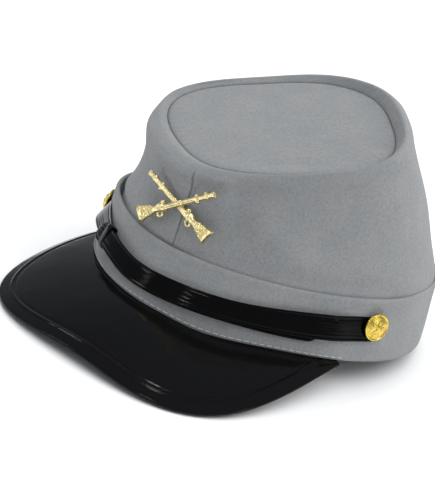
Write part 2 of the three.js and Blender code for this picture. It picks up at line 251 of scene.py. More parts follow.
def bumped(tree, height, distance, strength, below=None):
    """A bumped normal, laid over another one where there is one below."""
    node = tree.nodes.new("ShaderNodeBump")
    node.inputs["Distance"].default_value = distance
    node.inputs["Strength"].default_value = strength
    tree.links.new(height, node.inputs["Height"])
    if below is not None:
        tree.links.new(below, node.inputs["Normal"])
    return node.outputs["Normal"]


def grey_cloth():
    """Milled wool-blend cloth: a matt felted face, mottled, with a short nap of crossing fibres."""
    material, tree, shader = new_material("grey_wool_cloth")
    patches = texture(tree, 60, 3)
    flecks = texture(tree, 700, 6, Roughness=0.7)
    fibres = texture(tree, 900, 5, stretch=(1.0, 3.2, 1.4), Roughness=0.75)
    crossing = texture(tree, 900, 5, stretch=(3.2, 1.0, 1.6), Roughness=0.75)
    cool, warm = (0.262, 0.272, 0.277), (0.292, 0.298, 0.298)
    base = ramp(tree, patches, [(0.3, cool), (0.7, warm)])
    speckle = ramp(tree, flecks, [(0.3, 0.82), (0.5, 0.99), (0.72, 1.12)])
    hairs = ramp(tree, fibres, [(0.35, 0.9), (0.65, 1.1)])
    colour = multiplied(tree, multiplied(tree, base, speckle), hairs)
    tree.links.new(colour, shader.inputs["Base Color"])
    shader.inputs["Roughness"].default_value = 0.95
    shader.inputs["Specular IOR Level"].default_value = 0.2
    shader.inputs["Sheen Weight"].default_value = 0.12
    shader.inputs["Sheen Roughness"].default_value = 0.5
    nap = bumped(tree, fibres, 0.0005, 0.5)
    nap = bumped(tree, crossing, 0.0005, 0.5, nap)
    tree.links.new(bumped(tree, patches, 0.0012, 0.5, nap), shader.inputs["Normal"])
    return material


def patent_black(name, base, gloss, ripple):
    """Black coated sheet: deep gloss over a faint orange-peel and a few fine scuffs."""
    material, tree, shader = new_material(name)
    shader.inputs["Base Color"].default_value = (base, base, base * 1.06, 1)
    shader.inputs["Specular IOR Level"].default_value = gloss
    scuffs = texture(tree, 260, 8, stretch=(1.0, 0.35, 1.0), Roughness=0.8)
    haze = ramp(tree, scuffs, [(0.35, 0.07), (0.6, 0.12), (0.8, 0.26)])
    tree.links.new(haze, shader.inputs["Roughness"])
    peel = texture(tree, 420, 2)
    swell = texture(tree, 45, 2)
    normal = bumped(tree, peel, 0.0002 * ripple, 0.3)
    tree.links.new(bumped(tree, swell, 0.001 * ripple, 0.5, normal), shader.inputs["Normal"])
    return material


def gold(name, bright, dark, roughness):
    """Plated metal: bright, with random darker and duller patches of dirt."""
    material, tree, shader = new_material(name)
    shader.inputs["Metallic"].default_value = 1.0
    grime = texture(tree, 500, 6, Roughness=0.7)
    tree.links.new(ramp(tree, grime, [(0.3, dark), (0.55, bright)]), shader.inputs["Base Color"])
    rough = ramp(tree, grime, [(0.3, roughness + 0.18), (0.65, roughness)])
    tree.links.new(rough, shader.inputs["Roughness"])
    scratches = texture(tree, 1400, 4, stretch=(1.0, 0.3, 1.0))
    tree.links.new(bumped(tree, scratches, 0.0001, 0.4), shader.inputs["Normal"])
    return material


def thread(name, tone):
    """Twisted sewing thread."""
    material, tree, shader = new_material(name)
    twist = texture(tree, 900, 2, kind="ShaderNodeTexWave", Distortion=2.0)
    low, high = [c * 0.75 for c in tone], [min(1.0, c * 1.15) for c in tone]
    tree.links.new(ramp(tree, twist, [(0.2, low), (0.8, high)]), shader.inputs["Base Color"])
    shader.inputs["Roughness"].default_value = 0.8
    tree.links.new(bumped(tree, twist, 0.0001, 0.6), shader.inputs["Normal"])
    return material


def creased_strap():
    """Patent strap with fine creases that run along it, from its own length and width."""
    material = patent_black("patent_black_strap", 0.0022, 0.09, 0.35)
    tree = material.node_tree
    shader = tree.nodes["Principled BSDF"]
    place = tree.nodes.new("ShaderNodeAttribute")
    place.attribute_name = "strap_place"
    creases = texture(tree, 330, 3, (0.06, 1.0, 1.0), place.outputs["Vector"])
    below = shader.inputs["Normal"].links[0].from_socket
    normal = bumped(tree, creases, 0.00055, 0.7, below)
    tree.links.new(normal, shader.inputs["Normal"])
    return material


CLOTH_FACE = grey_cloth()
BLACK_SHEET = patent_black("patent_black", 0.0045, 0.12, 1.0)
BLACK_STRAP = creased_strap()
BLACK_LOOP = patent_black("patent_black_loop", 0.0022, 0.09, 0.6)
BRASS = gold("yellow_brass", (0.86, 0.64, 0.13), (0.46, 0.3, 0.04), 0.2)
PALE_GOLD = gold("pale_gold", (1.0, 0.86, 0.46), (0.5, 0.38, 0.15), 0.2)
GREY_THREAD = thread("grey_thread", (0.27, 0.28, 0.285))
PALE_THREAD = thread("pale_thread", (0.6, 0.6, 0.6))


# ---------- surfaces of the cap

def oval(value, power):
    """A cosine or sine squared up: power 2 is an ellipse, more is squarer."""
    return np.sign(value) * np.abs(value) ** (2 / power)


def oval_shares(angle):
    power = np.where(np.sin(angle) < 0, FRONT_OVAL, BACK_OVAL)
    return oval(np.cos(angle), power), oval(np.sin(angle), power)


def on_band(angle, level, outward=0.0):
    """Points of the band's outside: angle round the head, level from hem 0 to fold 1."""
    values = (np.asarray(v, float) for v in (angle, level, outward))
    angle, level, outward = np.broadcast_arrays(*values)
    across, along = oval_shares(angle)
    hem = np.stack([
        HEM["half_width"] * across,
        HEM["back"] + HEM["half_length"] * along,
        0 * angle,
    ], -1)
    fold_y = FOLD["back"] + FOLD["half_length"] * along
    fold = np.stack([FOLD["half_width"] * across, fold_y, BAND_HEIGHT + BAND_RISE * fold_y], -1)
    normal = np.stack([np.cos(angle), np.sin(angle), 0 * angle], -1)
    lean = ((hem - fold) * normal).sum(-1) / fold[..., 2]
    normal[..., 2] = lean
    share = level[..., None]
    return hem * (1 - share) + fold * share + unit(normal) * outward[..., None]


TOP_ACROSS = np.array([1, 0, math.sin(TOP_ROLL)])
TOP_ALONG = np.array([0, math.cos(TOP_LEAN), math.sin(TOP_LEAN)])
TOP_NORMAL = unit(np.cross(TOP_ACROSS, TOP_ALONG))
TOP_MIDDLE = np.array([-TOP["right"], -TOP["forward"], TOP["height"]])


def on_top(angle, grow, lift, scale=1.0):
    """Points by the round top's edge, grown outwards and lifted square to the top."""
    values = (np.asarray(v, float) for v in (angle, grow, lift, scale))
    angle, grow, lift, scale = np.broadcast_arrays(*values)
    across, along = oval_shares(angle)
    wide = scale * (TOP["half_width"] + grow) * across
    deep = scale * (TOP["half_length"] + grow) * along
    return (TOP_MIDDLE + wide[..., None] * TOP_ACROSS + deep[..., None] * TOP_ALONG
            + lift[..., None] * TOP_NORMAL)


def bump(value, centre, half_width):
    """A soft hill: 1 at its centre, and near 0 beyond twice its half width."""
    return np.exp(-((value - centre) / half_width) ** 2)


def degree_bump(angle, centre, half_width):
    """A bump round the head whose place and half width are in degrees."""
    return bump(angle, radians(centre), radians(half_width))


def hem_sag(angle):
    """How far the band's hem hangs down where the visor pulls at it, left of the front."""
    return 2.2 * degree_bump(angle, -66, 15)


def smoothstep(value, low, high):
    """Rises smoothly from 0 at low to 1 at high."""
    share = np.clip((value - low) / (high - low), 0, 1)
    return share * share * (3 - 2 * share)


def right_of(angle, start, end):
    """Rises from 0 to 1 between two places, in degrees from the left side round the front."""
    return smoothstep(-np.degrees(angle), start, end)


def grid_normals(grid, closed):
    around = (np.roll(grid, -1, 0) - np.roll(grid, 1, 0)) if closed else np.gradient(grid, axis=0)
    return unit(np.cross(around, np.gradient(grid, axis=1)))


def smooth_path(points, steps):
    """Rounded lines through control points: points[k] is an array of points, for many angles."""
    points = np.asarray(points)
    ends = [2 * points[0] - points[1], *points, 2 * points[-1] - points[-2]]
    ends = np.asarray(ends)
    spans = np.sqrt(np.linalg.norm(np.diff(ends, axis=0), axis=-1)) + 1e-9
    result = []
    for k in range(len(points) - 1):
        before, here, after = (spans[k + j][..., None] for j in range(3))
        p0, p1, p2, p3 = (ends[k + j] for j in range(4))
        slope1 = ((p1 - p0) / before - (p2 - p0) / (before + here) + (p2 - p1) / here) * here
        slope2 = ((p2 - p1) / here - (p3 - p1) / (here + after) + (p3 - p2) / after) * here
        for step in range(steps[k]):
            s = step / steps[k]
            result.append((2 * s**3 - 3 * s**2 + 1) * p1 + (s**3 - 2 * s**2 + s) * slope1
                          + (3 * s**2 - 2 * s**3) * p2 + (s**3 - s**2) * slope2)
    result.append(points[-1])
    return np.stack(result, 1)


# ---------- mesh building

JOIN_WITHIN = 2e-6


def make_object(name, mesh, material):
    mesh.materials.append(material)
    for polygon in mesh.polygons:
        polygon.use_smooth = True
    return linked(name, mesh)


def grid_faces(rows, count, wrap_rows, wrap_points, base=0):
    """Quads between neighbouring rows of points, and round their ends where they wrap."""
    faces = []
    for i in range(rows if wrap_rows else rows - 1):
        row, nxt = base + i * count, base + ((i + 1) % rows) * count
        for j in range(count if wrap_points else count - 1):
            k = (j + 1) % count
            faces.append((row + j, nxt + j, nxt + k, row + k))
    return faces


def end_caps(rows, count, base=0):
    first = tuple(range(base + count - 1, base - 1, -1))
    return [first, tuple(base + (rows - 1) * count + j for j in range(count))]


def solid_mesh(name, points, faces):
    """A mesh from cap millimetres, with doubled points joined and its faces turned outwards."""
    mesh = bpy.data.meshes.new(name)
    mesh.from_pydata(placed(points).tolist(), [], faces)
    mesh.validate()
    edit = bmesh.new()
    edit.from_mesh(mesh)
    bmesh.ops.remove_doubles(edit, verts=edit.verts, dist=JOIN_WITHIN)
    bmesh.ops.recalc_face_normals(edit, faces=edit.faces)
    if edit.calc_volume(signed=True) < 0:
        bmesh.ops.reverse_faces(edit, faces=edit.faces)
    edit.to_mesh(mesh)
    edit.free()
    return mesh


def swept(name, sections, material, closed=True):
    """A solid from closed sections: an array (section, point, xyz) in cap millimetres."""
    rows, count = sections.shape[:2]
    faces = grid_faces(rows, count, closed, True)
    if not closed:
        faces += end_caps(rows, count)
    return make_object(name, solid_mesh(name, sections.reshape(-1, 3), faces), material)


def cloth_shell(outside, thickness):
    """Closed sections from an outside grid and its inner face."""
    inside = outside - grid_normals(outside, True) * thickness
    return np.concatenate([outside, inside[:, ::-1]], 1)


def finished(piece, slot, *nodes):
    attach(piece, "root")
    if nodes:
        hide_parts(*nodes)
    return piece


# ---------- geometry node helpers

class Tree:
    """A geometry node tree under construction."""

    def __init__(self, name, **sizes):
        self.tree = bpy.data.node_groups.new(name, "GeometryNodeTree")
        sockets = self.tree.interface
        sockets.new_socket("Geometry", in_out="INPUT", socket_type="NodeSocketGeometry")
        sockets.new_socket("Geometry", in_out="OUTPUT", socket_type="NodeSocketGeometry")
        for label, value in sizes.items():
            kind = "NodeSocketInt" if isinstance(value, int) else "NodeSocketFloat"
            socket = sockets.new_socket(label, in_out="INPUT", socket_type=kind)
            socket.default_value = value
        sockets.new_socket("Material", in_out="INPUT", socket_type="NodeSocketMaterial")
        self.inputs = self.tree.nodes.new("NodeGroupInput").outputs
        self.end = self.tree.nodes.new("NodeGroupOutput")

    def node(self, kind, settings=None, **inputs):
        node = self.tree.nodes.new(kind)
        for key, value in (settings or {}).items():
            setattr(node, key, value)
        for key, value in inputs.items():
            self.set(node.inputs[key.replace("_", " ")], value)
        return node

    def set(self, socket, value):
        if isinstance(value, bpy.types.NodeSocket):
            self.tree.links.new(value, socket)
        else:
            socket.default_value = value

    def operate(self, kind, operation, values):
        node = self.tree.nodes.new(kind)
        node.operation = operation
        for socket, value in zip(node.inputs, values):
            self.set(socket, value)
        return node

    def math(self, operation, *values):
        return self.operate("ShaderNodeMath", operation, values).outputs[0]

    def vector(self, operation, *values):
        return self.operate("ShaderNodeVectorMath", operation, values).outputs[0]

    def scaled(self, vector, factor):
        node = self.operate("ShaderNodeVectorMath", "SCALE", [vector])
        self.set(node.inputs["Scale"], factor)
        return node.outputs[0]

    def carried(self, name, kind):
        """A value that the guide line carries."""
        return self.node("GeometryNodeInputNamedAttribute", {"data_type": kind}, Name=name).outputs[0]

    def sampled(self, curve, factor, name, kind):
        """A curve's place, direction and carried value at a share of its length."""
        node = self.node("GeometryNodeSampleCurve", {"mode": "FACTOR", "data_type": kind},
                         Curves=curve, Factor=factor)
        self.set(node.inputs["Value"], self.carried(name, kind))
        return node.outputs

    def finish(self, geometry):
        realized = self.node("GeometryNodeRealizeInstances", Geometry=geometry)
        painted = self.node("GeometryNodeSetMaterial", Geometry=realized.outputs[0])
        self.set(painted.inputs["Material"], self.inputs["Material"])
        self.tree.links.new(painted.outputs[0], self.end.inputs[0])
        return self.tree


def guide_line(name, points, facing):
    """A line of edges in metres that carries the outward direction at each of its points."""
    mesh = bpy.data.meshes.new(name)
    mesh.from_pydata(points.tolist(), [(k, k + 1) for k in range(len(points) - 1)], [])
    outward = mesh.attributes.new("facing", "FLOAT_VECTOR", "POINT")
    outward.data.foreach_set("vector", np.asarray(facing, np.float32).ravel())
    return linked(name, mesh)


def grown(name, guide, tree, material, **sizes):
    """What a tree makes from a guide, as a plain mesh."""
    modifier = guide.modifiers.new("grow", "NODES")
    modifier.node_group = tree
    named = {item.name: item.identifier for item in tree.interface.items_tree
             if item.in_out == "INPUT"}
    modifier[named["Material"]] = material
    for label, value in sizes.items():
        modifier[named[label]] = value
    graph = bpy.context.evaluated_depsgraph_get()
    mesh = bpy.data.meshes.new_from_object(guide.evaluated_get(graph))
    mesh.name = name
    bpy.data.objects.remove(guide)
    if not mesh.materials:
        mesh.materials.append(material)
    return linked(name, mesh)


def stitch_tree():
    """Lays one short arched stitch after another along a guide line."""
    t = Tree("stitch_run", StitchLength=0.0022, StitchGap=0.0008, ThreadRadius=0.00022)
    curve = t.node("GeometryNodeMeshToCurve", Mesh=t.inputs["Geometry"])
    pitch = t.math("ADD", t.inputs["StitchLength"], t.inputs["StitchGap"])
    spaced = t.node("GeometryNodeResampleCurve", {"mode": "LENGTH"},
                    Curve=curve.outputs[0], Length=pitch)
    half = t.math("MULTIPLY", t.inputs["StitchLength"], 0.5)
    sunk = t.math("MULTIPLY", t.inputs["ThreadRadius"], -0.6)
    start = t.node("ShaderNodeCombineXYZ", X=t.math("MULTIPLY", half, -1.0), Z=sunk)
    middle = t.node("ShaderNodeCombineXYZ", Z=t.math("MULTIPLY", t.inputs["ThreadRadius"], 1.6))
    finish = t.node("ShaderNodeCombineXYZ", X=half, Z=sunk)
    arch = t.node("GeometryNodeCurveQuadraticBezier", Resolution=5, Start=start.outputs[0],
                  Middle=middle.outputs[0], End=finish.outputs[0])
    ring = t.node("GeometryNodeCurvePrimitiveCircle", Resolution=6,
                  Radius=t.inputs["ThreadRadius"])
    strand = t.node("GeometryNodeCurveToMesh", Curve=arch.outputs[0],
                    Profile_Curve=ring.outputs[0], Fill_Caps=True)
    tangent = t.node("GeometryNodeInputTangent")
    along = t.node("FunctionNodeAlignRotationToVector", {"axis": "X"}, Vector=tangent.outputs[0])
    turned = t.node("FunctionNodeAlignRotationToVector", {"axis": "Z", "pivot_axis": "X"},
                    Rotation=along.outputs[0], Vector=t.carried("facing", "FLOAT_VECTOR"))
    laid = t.node("GeometryNodeInstanceOnPoints", Points=spaced.outputs[0],
                  Instance=strand.outputs[0], Rotation=turned.outputs[0])
    smooth = t.node("GeometryNodeSetShadeSmooth", Geometry=laid.outputs[0])
    return t.finish(smooth.outputs[0])


def strap_tree():
    """Sweeps a flat strap with rounded edges, a line tooled along each edge and round ends."""
    t = Tree("strap_sweep", Width=0.0127, Thickness=0.0013, EdgeRound=0.0004,
             LineInset=0.0016, LineDepth=0.0002, StepsAlong=260, StepsRound=72)
    path = t.node("GeometryNodeMeshToCurve", Mesh=t.inputs["Geometry"])
    grid = t.node("GeometryNodeMeshGrid", Size_X=1.0, Size_Y=1.0,
                  Vertices_X=t.inputs["StepsAlong"], Vertices_Y=t.inputs["StepsRound"])
    place = t.node("ShaderNodeSeparateXYZ", Vector=grid.outputs["UV Map"])
    along, round_ = place.outputs["X"], place.outputs["Y"]
    spine = t.sampled(path.outputs[0], along, "facing", "FLOAT_VECTOR")
    outward = t.vector("NORMALIZE", spine["Value"])
    up = t.vector("NORMALIZE", t.vector("CROSS_PRODUCT", outward, spine["Tangent"]))
    box = t.node("GeometryNodeCurvePrimitiveQuadrilateral", Width=t.inputs["Width"],
                 Height=t.inputs["Thickness"])
    rounded = t.node("GeometryNodeFilletCurve", {"mode": "POLY"}, Curve=box.outputs[0],
                     Radius=t.inputs["EdgeRound"], Count=3, Limit_Radius=True)
    section = t.node("GeometryNodeSampleCurve", {"mode": "FACTOR"}, Curves=rounded.outputs[0],
                     Factor=round_)
    spot = t.node("ShaderNodeSeparateXYZ", Vector=section.outputs["Position"])
    length = t.node("GeometryNodeCurveLength", Curve=path.outputs[0]).outputs[0]
    from_end = t.math("MULTIPLY", t.math("MINIMUM", along, t.math("SUBTRACT", 1.0, along)), length)
    half = t.math("MULTIPLY", t.inputs["Width"], 0.5)
    share = t.math("MINIMUM", t.math("DIVIDE", from_end, half), 1.0)
    missing = t.math("SUBTRACT", 1.0, share)
    narrow = t.math("SQRT", t.math("SUBTRACT", 1.0, t.math("MULTIPLY", missing, missing)))
    gather = t.sampled(path.outputs[0], along, "width_share", "FLOAT")["Value"]
    narrow = t.math("MULTIPLY", narrow, gather)
    edge = t.math("SUBTRACT", half, t.inputs["LineInset"])
    off_line = t.math("DIVIDE", t.math("SUBTRACT", t.math("ABSOLUTE", spot.outputs["X"]), edge),
                      0.0004)
    dip = t.math("EXPONENT", t.math("MULTIPLY", t.math("MULTIPLY", off_line, off_line), -1.0))
    outer_face = t.math("GREATER_THAN", spot.outputs["Y"], 0.0)
    groove = t.math("MULTIPLY", t.math("MULTIPLY", dip, t.inputs["LineDepth"]), outer_face)
    rise = t.math("SUBTRACT", spot.outputs["Y"], groove)
    thin = t.math("MINIMUM", t.math("MULTIPLY", share, 12.0), 1.0)
    sideways = t.scaled(up, t.math("MULTIPLY", spot.outputs["X"], narrow))
    outwards = t.scaled(outward, t.math("MULTIPLY", rise, thin))
    point = t.vector("ADD", t.vector("ADD", spine["Position"], sideways), outwards)
    moved = t.node("GeometryNodeSetPosition", Geometry=grid.outputs[0], Position=point)
    run = t.node("ShaderNodeCombineXYZ", X=t.math("MULTIPLY", along, length),
                 Y=t.math("MULTIPLY", round_, t.math("MULTIPLY", t.inputs["Width"], 2.2)))
    noted = t.node("GeometryNodeStoreNamedAttribute",
                   {"data_type": "FLOAT_VECTOR", "domain": "POINT"},
                   Geometry=moved.outputs[0], Name="strap_place", Value=run.outputs[0])
    joined = t.node("GeometryNodeMergeByDistance", Geometry=noted.outputs[0], Distance=1e-6)
    smooth = t.node("GeometryNodeSetShadeSmooth", Geometry=joined.outputs[0])
    return t.finish(smooth.outputs[0])


STITCHES = stitch_tree()
STRAP = strap_tree()


# ---------- crown

LOW_SHARE, HIGH_SHARE = 0.32, 0.68

# The columns round the crown and band stand closer together by the front seam.
EVEN = np.linspace(0, 2 * math.pi, 320, endpoint=False) - math.pi
CLOSE = FRONT + np.linspace(-0.07, 0.07, 41)
ANGLES = np.sort(np.concatenate([EVEN[np.abs(EVEN - FRONT) > 0.075], CLOSE]))
CROWN_RADIUS = 88.0

# Steps between the crown wall's control points, and each step's share of the way from the
# band, 0, to the rim, 1, and over it.
WALL_STEPS = [6, 14, 16, 14, 7, 7, 5, 4, 4]
WALL_BREAKS = [-0.1, 0.0, LOW_SHARE, HIGH_SHARE, 1.0]
WALL_SHARES = np.concatenate([
    *(np.linspace(WALL_BREAKS[k], WALL_BREAKS[k + 1], WALL_STEPS[k], endpoint=False) for k in range(4)),
    np.linspace(1.0, 1.5, sum(WALL_STEPS[4:]) + 1),
])

# Hand sewing never leaves a true oval. Each wave: times round, cosine and sine parts.
SEAM_WAVES = ((2, 0.9, 0.2), (3, -0.6, -2.2), (4, 2.4, 0.2))
RIM_WAVES = ((1, 0.7, -0.1), (2, -2.5, 2.3), (3, 1.1, -0.7))
CREST_WAVES = ((1, 2.9, 1.85),)
WALL_WAVES = ((1, 0.5, 0.7), (2, -0.4, -0.25), (3, -0.9, 0.6))


def waves(angles, level, table):
    """A level that rises and falls round the head."""
    return level + sum(c * np.cos(n * angles) + d * np.sin(n * angles) for n, c, d in table)


def rim_point(angles, grow, lift, scale=1.0):
    """A place by the top seam of the sewn crown: outwards from the seam and up from the top."""
    lean = 0.9 * np.cos(angles) + 1.1 * np.sin(angles)
    seam = waves(angles, -1.85, SEAM_WAVES)
    shift = 0.7 * TOP_ACROSS - 0.7 * TOP_ALONG
    return on_top(angles, grow + seam, lift + lean * scale, scale) + shift


def crown_outside(angles):
    """The crown wall's outside, from its tucked-in edge, up the wall and over the rim."""
    inward = -(BAND_WALL + 0.3)
    crest = 0.6 + np.log1p(np.exp(1.5 * waves(angles, 0.3, CREST_WAVES))) / 1.5
    side = bump(angles, 0.2, 0.6)
    grow = waves(angles, 10.1, RIM_WAVES) + 1.1 * side
    belly = waves(angles, -0.4, WALL_WAVES) + 1.1 * side
    out = np.stack([np.cos(angles), np.sin(angles), 0 * angles], -1) * belly[..., None]
    low, high = on_band(angles, 0.985, inward), rim_point(angles, grow, -8.0)
    controls = [
        on_band(angles, 0.78, inward),
        low,
        low * HIGH_SHARE + high * LOW_SHARE + 0.8 * out,
        low * LOW_SHARE + high * HIGH_SHARE + out,
        high,
        rim_point(angles, grow - 1.2, -2.6),
        rim_point(angles, 5.0, crest),
        rim_point(angles, 2.6, crest * 0.5 - 0.4),
        rim_point(angles, 0.9, -1.0),
        rim_point(angles, 0.35, -2.1),
    ]
    return smooth_path(controls, WALL_STEPS)


def dent(angle, share, place, size):
    """A soft oval patch on the crown's wall: its place and half size in degrees and share."""
    across = (np.degrees(angle) - place[0]) / size[0]
    along = (share - place[1]) / size[1]
    return np.exp(-across**2 - along**2)


def crown_shape():
    """The crown wall's outside with its front seam, slack and folds."""
    grid = crown_outside(ANGLES)
    normals = grid_normals(grid, True)
    share, angle = np.broadcast_arrays(WALL_SHARES[None, :], ANGLES[:, None])
    wall = smoothstep(share, -0.02, 0.12) * (1 - smoothstep(share, 1.12, 1.2))
    from_seam = (angle - FRONT) * CROWN_RADIUS
    seam = -0.9 * bump(from_seam, 0, 0.6) + 0.35 * bump(np.abs(from_seam), 2.2, 1.3)
    pucker = 0.16 * np.cos(share * 70) * bump(from_seam, 0, 4.5)
    slack = (0.3 * np.sin(3 * angle + 3 * share) + 0.25 * np.sin(7 * angle - 6 * share + 1.0)
             + 0.18 * np.sin(12 * angle + 9 * share + 2.0))
    folds = (
        1.8 * dent(angle, share, (-74, 0.95), (5, 0.26))
        - 2.8 * dent(angle, share, (-66, 0.6), (7.5, 0.34))
        - 2.2 * dent(angle, share, (-75, 0.28), (8, 0.2))
        - 1.8 * dent(angle, share, (-108, 0.55), (10, 0.3))
        + 1.2 * dent(angle, share, (-52, 0.4), (9, 0.3))
        - 1.2 * dent(angle, share, (-38, 0.1), (26, 0.1))
        + 1.8 * dent(angle, share, (-142, 0.1), (16, 0.25))
    )
    move = wall * (seam + pucker + slack + folds)
    return grid + normals * move[..., None]


def make_crown():
    """The wall with its rolled rim, and the round top with a puckered edge."""
    side = swept("crown_side_cloth", cloth_shell(crown_shape(), CLOTH), CLOTH_FACE)
    finished(side, "grey_cloth", "crown_side")

    rings = np.concatenate([[1.0, 0.995, 0.985, 0.97, 0.95], np.linspace(0.92, 0.0, 26)])
    depth = np.concatenate([[-2.3, -1.75, -1.35, -1.15, -1.05], np.full(26, -1.0)])
    dome = 1.2 * (1 - rings**2)
    pucker = 0.12 * np.sin(ANGLES[:, None] * 64 + 2 * np.sin(3 * ANGLES[:, None]))
    pucker = pucker * bump(rings, 0.95, 0.05)[None, :]
    soft = 0.5 * np.sin(2 * ANGLES[:, None] + 0.5) * rings[None, :] ** 2 * (1 - rings[None, :])
    filled = 0.75 * degree_bump(ANGLES, -42, 45)[:, None]
    filled = filled * smoothstep(rings, 0.8, 0.98)[None, :]
    lift = (depth + dome)[None, :] + pucker + soft + filled
    grid = rim_point(ANGLES[:, None], 0.3, lift, rings[None, :])
    inner = grid - TOP_NORMAL * CLOTH
    top = swept("crown_top_cloth", np.concatenate([grid, inner[:, ::-1]], 1), CLOTH_FACE)
    finished(top, "grey_cloth", "crown_top")


def make_band():
    """The band: hem, outside, rolled fold at its top and inside, as level and outward pairs."""
    section = [
        (0.015, -1.9), (0.0, -1.1), (0.012, -0.35), (0.05, 0.05), (0.12, 0.2), (0.3, 0.3), (0.5, 0.3),
        (0.7, 0.3), (0.86, 0.3), (0.93, 0.45), (0.965, 0.4), (0.99, 0.05), (1.0, -0.6), (0.995, -1.2),
        (0.975, -1.75), (0.9, -2.1), (0.7, -2.0), (0.4, -2.0), (0.1, -2.0),
    ]
    controls = [on_band(ANGLES, level, outward) for level, outward in section]
    grid = smooth_path(controls, [3] * (len(section) - 1))
    normals = grid_normals(grid, True)
    level = np.linspace(0, 1, grid.shape[1])[None, :]
    ease = 0.25 * np.sin(5 * ANGLES[:, None] + 3) + 0.2 * np.sin(11 * ANGLES[:, None])
    high = np.clip(grid[..., 2] / BAND_HEIGHT, 0, 1)
    bulge = 2.6 * degree_bump(ANGLES, -152, 16) - 1.6 * degree_bump(ANGLES, 10, 18)
    move = ease * bump(level, 0.35, 0.25)
    grid = grid + normals * move[..., None]
    outward = np.stack([np.cos(ANGLES), np.sin(ANGLES), 0 * ANGLES], -1)
    grid = grid + outward[:, None, :] * (bulge[:, None] * smoothstep(high, 0.25, 0.9))[..., None]
    grid[..., 2] -= hem_sag(ANGLES)[:, None] * (1 - smoothstep(high, 0.0, 0.4))
    finished(swept("band_cloth", grid, CLOTH_FACE), "grey_cloth", "band")


make_crown()
make_band()


# ---------- visor

def even_along(points, count):
    """Points at even lengths along a fine polyline."""
    lengths = np.concatenate([[0], np.cumsum(np.linalg.norm(np.diff(points, axis=0), axis=1))])
    wanted = np.linspace(0, lengths[-1], count)
    return np.stack([np.interp(wanted, lengths, points[:, k]) for k in range(points.shape[1])], 1)


def hem_angle_at(y):
    along = (HEM["back"] - y) / HEM["half_length"]
    return -math.asin(along ** (FRONT_OVAL / 2))


def distance_to(points, line):
    """How far each of many points lies from a fine line in plan."""
    flat = points.reshape(-1, 2)
    nearest = [np.min(np.hypot(*(line - spot).T)) for spot in flat]
    return np.array(nearest).reshape(points.shape[:-1])


def visor_outside(count=260):
    """The visor's upper face: rows round the front, from the outer edge in to the hem."""
    fine = np.linspace(-math.pi, 0, 2000)
    power = np.where(fine > FRONT, VISOR["left_squareness"], VISOR["squareness"])
    edge_line = np.stack([
        VISOR["half_width"] * oval(np.cos(fine), power) - VISOR["aside"],
        VISOR["start"] - VISOR["reach"] * oval(-np.sin(fine), power),
    ], 1)
    edge_line = even_along(edge_line, 900)
    edge = even_along(edge_line, count)
    start = hem_angle_at(VISOR["start"])
    sweep = np.linspace(-math.pi - start, start, 2000)
    hem = even_along(on_band(sweep, 0)[:, :2], count)
    width = np.linalg.norm(edge - hem, axis=1)

    probe = np.linspace(0, 1, 60)
    spots = edge[:, None] * (1 - probe[None, :, None]) + hem[:, None] * probe[None, :, None]
    far = np.maximum.accumulate(distance_to(spots, edge_line), axis=1)
    insets = np.concatenate([
        np.linspace(0, BORDER_INSET - 2.5, 10), np.linspace(BORDER_INSET - 2.1, BORDER_INSET + 3.5, 15),
        [BORDER_INSET + 4.5],
    ])
    fits = np.minimum(1, far[:, -1] * 0.8 / insets[-1])
    outer = np.array([np.interp(insets * fits[k], far[k], probe) for k in range(count)])
    rest = np.linspace(0, 1, 20)[None, 1:]
    share = 1 - np.concatenate([outer, outer[:, -1:] + (1 - outer[:, -1:]) * rest], 1)
    flat = hem[:, None, :] * (1 - share[..., None]) + edge[:, None, :] * share[..., None]
    inset = distance_to(flat, edge_line)
    arch = VISOR_CROWNING * 4 * share * (1 - share) * np.minimum(1, width / 30)[:, None]
    height = -VISOR_DROP - math.tan(VISOR_SLOPE) * width[:, None] * share + arch
    ripple = np.sin(flat[..., 0] / 19 + 0.8) * np.sin(flat[..., 1] / 23)
    height += ripple * share * (1 - share)
    flange_angles = np.interp(np.linspace(0, 1, count), np.linspace(0, 1, 2000), sweep)
    height -= hem_sag(flange_angles)[:, None] * (1 - share) ** 2
    grid = np.concatenate([flat, height[..., None]], 2)
    flange = on_band(flange_angles, 0, -VISOR_FLANGE)
    flange[:, 2] = -VISOR_DROP - hem_sag(flange_angles)
    return np.concatenate([grid, flange[:, None, :]], 1), inset


def make_visor():
    """The sheet, its pressed border line and its rounded lip."""
    grid, inset = visor_outside()
    normals = grid_normals(grid, False)
    if normals[len(normals) // 2, 20, 2] < 0:
        normals = -normals
    ridge = 0.45 * bump(inset, BORDER_INSET, 0.55) - 0.3 * bump(inset, BORDER_INSET + 1.5, 0.7)
    ridge = np.concatenate([ridge, np.zeros((len(grid), 1))], 1)
    upper = grid + normals * ridge[..., None]
    lower = grid - normals * VISOR_WALL
    away = unit(grid[:, :1] - grid[:, 1:2])
    lip = [grid[:, :1] - normals[:, :1] * VISOR_WALL * s + away * 0.7 * math.sin(math.pi * s)
           for s in (0.9, 0.7, 0.5, 0.3, 0.1)]
    sections = np.concatenate([*lip, upper, lower[:, ::-1]], 1)
    visor = swept("visor_sheet", sections, BLACK_SHEET, closed=False)
    finished(visor, "black_gloss", "visor")


make_visor()


# ---------- chin strap

FAR_BUTTON, NEAR_BUTTON = radians(-152.5), radians(-18.7)
OUTER_TIP, INNER_TIP = radians(-126), radians(-35.5)
PAST_BUTTON = radians(4)
STRAP_DROP = {"outer": 0.0, "inner": 0.07}
INNER_FACE = 0.7 + STRAP_WALL
OUTER_FACE = INNER_FACE + 0.4 + STRAP_WALL


def strap_level(angle, drop):
    """How high a strap lies on the band, from hem 0 to fold 1."""
    return 0.41 + 0.15 * np.cos(angle) ** 2 - drop


